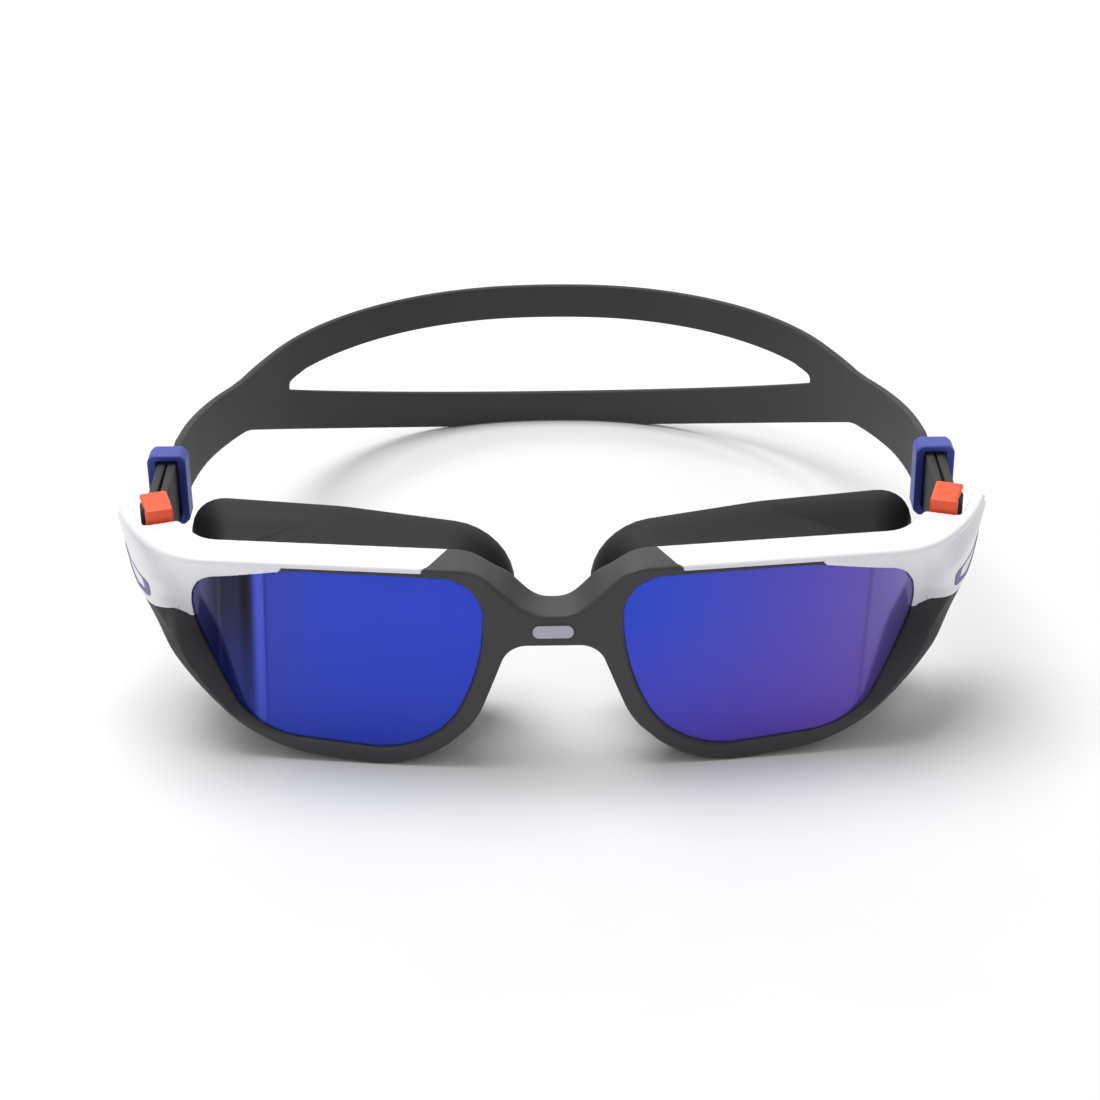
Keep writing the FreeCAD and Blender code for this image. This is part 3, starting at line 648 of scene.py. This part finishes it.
def keeper_field(x, d, z):
    """The keeper: a chamfered loop round both layers of the strap."""
    half = STRAP_THICK + STRAP_GAP / 2 + KEEPER_GAP
    low_z, high_z = STRAP_BOTTOM - KEEPER_GAP, STRAP_TOP + KEEPER_GAP
    across = np.abs(x + KEEPER_X) - half
    up = np.abs(z - (low_z + high_z) / 2) - (high_z - low_z) / 2
    past_side, past_end = across - KEEPER_WALL, up - KEEPER_END
    chamfer = (past_side + past_end + KEEPER_CHAMFER) / math.sqrt(2)
    outer = meet(np.maximum(past_side, past_end), chamfer, KEEPER_EDGE)
    ends = np.abs(d - KEEPER_BACK - KEEPER_LENGTH / 2) - KEEPER_LENGTH / 2
    return meet(meet(outer, ends, KEEPER_RIM), -meet(across, up, KEEPER_EDGE), KEEPER_MOUTH)


BADGE_HALF, BADGE_RADIUS, BADGE_MIDDLE = 3.75, 1.2, 29.4
BADGE_FRONT, BADGE_BACK, BADGE_EDGE = -1.62, -1.0, 0.12


def badge_field(x, d, z):
    """A plain rounded bar on the bridge."""
    beyond = np.maximum(np.abs(x) - BADGE_HALF + BADGE_RADIUS, 0)
    bar = np.hypot(beyond, z - BADGE_MIDDLE) - BADGE_RADIUS
    return meet(bar, np.maximum(BADGE_FRONT - d, d - BADGE_BACK), BADGE_EDGE)


INLAY_OUTER = Outline([(15.2, 32.2, 0.9), (16.4, 28.3, 1.2), (22, 28, 4), (34, 31.2, 0.3), (34, 32.6, 0.3)])
INLAY_INNER = Outline([(17.6, 31.7, 0.6), (18.3, 29.1, 0.8), (22, 28.8, 3), (31.5, 31.2, 0.3),
                       (31.5, 31.9, 0.3)])
INLAY_FRONT, INLAY_BACK = -75.4, 0.4  # x of its front end, and how far it stops before the temple's end
INLAY_PROUD, INLAY_DEEP, INLAY_EDGE = 0.08, 0.5, 0.06


def inlay_field(x, d, z):
    """The D-shaped ring on the flank of the temple."""
    s, _ = FRAME_LINE.place(x, d)
    ring = np.maximum(INLAY_OUTER(d, z), -INLAY_INNER(d, z))
    ring = np.maximum(ring, np.maximum(s - FRAME_LINE.length + INLAY_BACK, x - INLAY_FRONT))
    proud = face(x, d, z)
    return meet(meet(ring, proud - INLAY_PROUD, INLAY_EDGE), -proud - INLAY_DEEP)


# ---------------------------------------------------------------- materials

GRAIN_DEPTH = 0.0002  # metres
GRAIN_DETAIL, BLOTCH_DETAIL = 3, 4
ROUGHNESS_SCALE, BLOTCH_SCALE = 60, 45
BLOTCH_DARK, BLOTCH_LIGHT = 0.35, 0.65  # where on the noise the two colours stand


def material(name, roughness, bump=0.02, grain=900.0, speckle=0.06, **inputs):
    """A moulded finish: roughness varies softly, and a fine grain roughens the surface."""
    made = bpy.data.materials.new(name)
    made.use_nodes = True
    nodes, links = made.node_tree.nodes, made.node_tree.links
    shader = nodes["Principled BSDF"]
    for socket, value in inputs.items():
        shader.inputs[socket.replace("_", " ")].default_value = value
    place = nodes.new("ShaderNodeTexCoord")
    fine = nodes.new("ShaderNodeTexNoise")
    fine.inputs["Scale"].default_value = grain
    fine.inputs["Detail"].default_value = GRAIN_DETAIL
    broad = nodes.new("ShaderNodeTexNoise")
    broad.inputs["Scale"].default_value = ROUGHNESS_SCALE
    rough = nodes.new("ShaderNodeMapRange")
    rough.inputs["To Min"].default_value = roughness - speckle
    rough.inputs["To Max"].default_value = roughness + speckle
    raised = nodes.new("ShaderNodeBump")
    raised.inputs["Strength"].default_value = bump
    raised.inputs["Distance"].default_value = GRAIN_DEPTH
    links.new(place.outputs["Object"], fine.inputs["Vector"])
    links.new(place.outputs["Object"], broad.inputs["Vector"])
    links.new(broad.outputs["Fac"], rough.inputs["Value"])
    links.new(rough.outputs["Result"], shader.inputs["Roughness"])
    links.new(fine.outputs["Fac"], raised.inputs["Height"])
    links.new(raised.outputs["Normal"], shader.inputs["Normal"])
    return made


def coloured(made, colour, variation=0.05):
    """Give a material its colour, a little lighter and darker from place to place."""
    nodes, links = made.node_tree.nodes, made.node_tree.links
    noise = nodes.new("ShaderNodeTexNoise")
    noise.inputs["Scale"].default_value = BLOTCH_SCALE
    noise.inputs["Detail"].default_value = BLOTCH_DETAIL
    place = nodes.new("ShaderNodeTexCoord")
    ramp = nodes.new("ShaderNodeValToRGB")
    dark, pale = ramp.color_ramp.elements
    dark.color = [level * (1 - variation) for level in colour] + [1]
    pale.color = [min(level * (1 + variation), 1) for level in colour] + [1]
    dark.position, pale.position = BLOTCH_DARK, BLOTCH_LIGHT
    links.new(place.outputs["Object"], noise.inputs["Vector"])
    links.new(noise.outputs["Fac"], ramp.inputs["Fac"])
    links.new(ramp.outputs["Color"], nodes["Principled BSDF"].inputs["Base Color"])
    return made


def srgb(*levels):
    """Linear colour of 0-255 levels, by the sRGB curve."""
    return [((level / 255 + 0.055) / 1.055) ** 2.4 if level > 10 else level / 255 / 12.92
            for level in levels]


def position(nodes, links):
    """Where a point is on the goggles, as separate x, y and z in metres."""
    place = nodes.new("ShaderNodeTexCoord")
    split = nodes.new("ShaderNodeSeparateXYZ")
    links.new(place.outputs["Object"], split.inputs["Vector"])
    return split.outputs


LENS_ACROSS = (0.072, 0.012)  # metres from the middle: where the bands of colour start and end
LENS_PIVOT = 0.022  # height in metres that the bands lean about
LENS_LEAN = {-1: -0.04, 1: -0.05}
LENS_FOOT = {-1: (40, 60, 172), 1: (100, 64, 176)}  # the colour that the lower part turns to
FOOT_FROM, FOOT_TO, FOOT_SHARE = 0.032, 0.002, 0.6  # heights in metres, and how far it turns
# Colours across the lens, from its outer edge (0) to the nose (1), each level from 0 to 255. On the left
# lens they are painted reflections: near-black and slate bands, a thin painted highlight among them, and a
# brighter strip by the fold. The right lens runs from pale violet at its outer edge to blue, with a thin
# darker line.
LENS_TINT_AND_REFLECTIONS = {
    -1: [(0.0, (100, 95, 160)), (1.0, (46, 70, 212)), (0.09, (68, 66, 120)), (0.125, (44, 46, 90)),
         (0.15, (22, 24, 54)), (0.16, (46, 50, 84)), (0.17, (18, 22, 50)), (0.2, (28, 31, 70)),
         (0.225, (28, 30, 68)), (0.238, (6, 8, 24)), (0.252, (6, 8, 22)), (0.264, (28, 32, 70)),
         (0.284, (76, 94, 215)), (0.302, (74, 92, 212)), (0.309, (38, 52, 150)), (0.317, (56, 72, 185)),
         (0.5, (48, 72, 207))],
    1: [(0.0, (132, 120, 185)), (1.0, (44, 74, 215)), (0.14, (118, 106, 184)), (0.222, (112, 98, 178)),
        (0.233, (92, 78, 150)), (0.244, (106, 90, 186)), (0.4, (94, 82, 194)), (0.6, (76, 78, 200)),
        (0.8, (56, 78, 210))],
}


def lens_material(name, side):
    """A mirror coat: bands of colour across the lens, painted reflections on the left lens, which turn to
    another colour at its foot.
    """
    made = material(name, 0.18, bump=0.0, speckle=0.02, Metallic=0.4, Specular_IOR_Level=0.3)
    nodes, links = made.node_tree.nodes, made.node_tree.links
    x, _, z = position(nodes, links)
    lean = nodes.new("ShaderNodeMath")
    lean.operation = "MULTIPLY_ADD"
    lean.inputs[1].default_value = LENS_LEAN[side]
    links.new(z, lean.inputs[0])
    links.new(x, lean.inputs[2])
    across = nodes.new("ShaderNodeMapRange")
    for socket, reach in zip(("From Min", "From Max"), LENS_ACROSS):
        across.inputs[socket].default_value = side * reach + LENS_LEAN[side] * LENS_PIVOT
    links.new(lean.outputs["Value"], across.inputs["Value"])
    # The ramp holds the colours across the lens, with the painted reflections on the left lens.
    ramp = nodes.new("ShaderNodeValToRGB")
    links.new(across.outputs["Result"], ramp.inputs["Fac"])
    elements = ramp.color_ramp.elements
    for number, (where, colour) in enumerate(LENS_TINT_AND_REFLECTIONS[side]):
        element = elements[number] if number < 2 else elements.new(where)
        element.position = where
        element.color = srgb(*colour) + [1]
    down = nodes.new("ShaderNodeMapRange")
    down.inputs["From Min"].default_value = FOOT_FROM
    down.inputs["From Max"].default_value = FOOT_TO
    down.inputs["To Max"].default_value = FOOT_SHARE
    foot = nodes.new("ShaderNodeMixRGB")
    foot.inputs["Color2"].default_value = srgb(*LENS_FOOT[side]) + [1]
    links.new(z, down.inputs["Value"])
    links.new(down.outputs["Result"], foot.inputs["Fac"])
    links.new(ramp.outputs["Color"], foot.inputs["Color1"])
    links.new(foot.outputs["Color"], nodes["Principled BSDF"].inputs["Base Color"])
    return made


def dress(piece, made):
    """Replace the piece's materials with one."""
    piece.data.materials.clear()
    piece.data.materials.append(made)


# ---------------------------------------------------------------- put it together

charcoal = coloured(material("charcoal_plastic", 0.5, bump=0.05, Specular_IOR_Level=0.4), srgb(60, 60, 62))
pearl = coloured(material("white_plastic", 0.34, bump=0.02), srgb(243, 243, 248), 0.01)
silicone = coloured(material("charcoal_silicone", 0.6, bump=0.06, Specular_IOR_Level=0.3), srgb(26, 26, 28))
rubber = coloured(material("strap_silicone", 0.65, bump=0.08, Specular_IOR_Level=0.3), srgb(62, 62, 64))
orange = coloured(material("orange_plastic", 0.4, bump=0.03), srgb(255, 92, 50))
blue = coloured(material("blue_plastic", 0.45, bump=0.03), srgb(58, 70, 165))
violet = coloured(material("violet_plastic", 0.42, bump=0.03), srgb(95, 90, 150))
grey = coloured(material("grey_print", 0.5, bump=0.03), srgb(185, 185, 200))
black = coloured(material("black_plastic", 0.45, bump=0.03), srgb(38, 38, 40))
steel = coloured(material("steel", 0.3, bump=0.02, Metallic=1.0), srgb(190, 190, 195))

CELL = 0.45
LENS_CELL, INLAY_CELL, SMALL_CELL, BADGE_CELL = 0.5, 0.3, 0.25, 0.15


def keep(piece, body, node, made):
    """Give a piece its material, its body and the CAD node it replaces."""
    dress(piece, made)
    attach(piece, body)
    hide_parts(node)


rim = carved("rims_and_bridge", frame_field, (-86, -4, -1.5), (86, 40, 44), CELL)
keep(rim, "goggles", "front_frame", charcoal)

badge = carved("bridge_bar", badge_field, (-4.5, -2.2, 27.6), (4.5, -0.5, 31.2), BADGE_CELL)
keep(badge, "goggles", "bridge_badge", grey)

strap = strap_piece()
keep(strap, "goggles", "strap", rubber)

arm = carved("side_arm_left", arm_field, (-86, -4, 24), (-17, 40, 44), CELL)
lens = carved("mirror_lens_left", lens_field, (-70, -3, 0), (-10, 24, 42), LENS_CELL)
seal = tube("face_seal_left", seal_points())
lever = carved("release_lever_left", lever_field, (-80, 18, 30), (-69, 31, 48), SMALL_CELL)
keeper = carved("keeper_loop_left", keeper_field, (-80, 40.8, 29), (-70, 48, 48), SMALL_CELL)
inlay = carved("temple_ring_left", inlay_field, (-86, 10, 26), (-71, 37, 35), INLAY_CELL)

# Each left-hand piece with its name, body, CAD node, slot and material. The lenses have one material each.
PAIRS = [(inlay, "temple_ring", "goggles", "arm_inlay", "inlay_violet", violet),
         (arm, "side_arm", "goggles", "arm", "arm_white", pearl),
         (seal, "face_seal", "goggles", "seal", "seal_silicone", silicone),
         (lever, "release_lever", "lever", "strap_lever", "lever_orange", orange),
         (keeper, "keeper_loop", "keeper", "strap_keeper", "keeper_blue", blue),
         (lens, "mirror_lens", "goggles", "lens", "lens_mirror", None)]
for piece, name, body, node, slot, made in PAIRS:
    for side, sign in (("left", -1), ("right", 1)):
        one = piece if side == "left" else mirrored(piece, name + "_right")
        finish = made or lens_material("mirror_lens_" + side, sign)
        keep(one, body if body == "goggles" else f"{body}_{side}", f"{node}_{side}", finish)

for side in ("left", "right"):
    dress(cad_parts["lens_carrier_" + side], black)
    dress(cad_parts["lever_pin_" + side], steel)
    dress(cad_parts["lever_spring_" + side], steel)

# ---------------------------------------------------------------- studio

WORLD_STRENGTH = 0.42
AIM = (0, 0, 0.02)
FLOOR_SIZE, FLOOR_PLACE = 6, (0, 0.5, -0.0002)
CAMERA_BACK, CAMERA_X, CAMERA_HEIGHT = 384.7, -0.0004, 0.24164  # millimetres before the datum, then metres
CAMERA_TILT, CAMERA_ROLL = math.radians(62.99), math.radians(-0.73)
SENSOR_WIDTH, FOCAL_LENGTH = 36, 78.545

scene = bpy.context.scene
scene.view_settings.view_transform = "Standard"

bpy.ops.mesh.primitive_plane_add(size=FLOOR_SIZE, location=FLOOR_PLACE)
floor = bpy.context.object
floor.name = "floor"
dress(floor, coloured(material("floor", 0.8, bump=0.0), (0.9, 0.9, 0.9), 0.005))

world = bpy.data.worlds.new("studio")
scene.world = world
world.use_nodes = True
sky = world.node_tree.nodes["Background"]
sky.inputs["Color"].default_value = (1, 1, 1, 1)
sky.inputs["Strength"].default_value = WORLD_STRENGTH


def light(name, place, size, power):
    """A rectangular light aimed at the goggles: size in metres, power in watts."""
    data = bpy.data.lights.new(name, "AREA")
    data.shape = "RECTANGLE"
    data.size, data.size_y = size
    data.energy = power
    lamp = bpy.data.objects.new(name, data)
    lamp.location = place
    direction = np.array(AIM) - np.array(place)
    lamp.rotation_euler = Vector(direction).to_track_quat("-Z", "Y").to_euler()
    scene.collection.objects.link(lamp)


light("key", (-0.4, 0.25, 1.65), (1.3, 1.3), 26.0)
light("backdrop", (0, 1.5, 0.6), (2.2, 0.8), 5.0)

camera_data = bpy.data.cameras.new("camera")
camera_data.sensor_width = SENSOR_WIDTH
camera_data.lens = FOCAL_LENGTH
camera_data.clip_start = 0.01
camera = bpy.data.objects.new("camera", camera_data)
camera.location = (CAMERA_X, (DATUM - CAMERA_BACK) * MM, CAMERA_HEIGHT)
view = Matrix.Rotation(CAMERA_TILT, 4, "X") @ Matrix.Rotation(CAMERA_ROLL, 4, "Z")
camera.rotation_euler = view.to_euler()
scene.collection.objects.link(camera)
scene.camera = camera
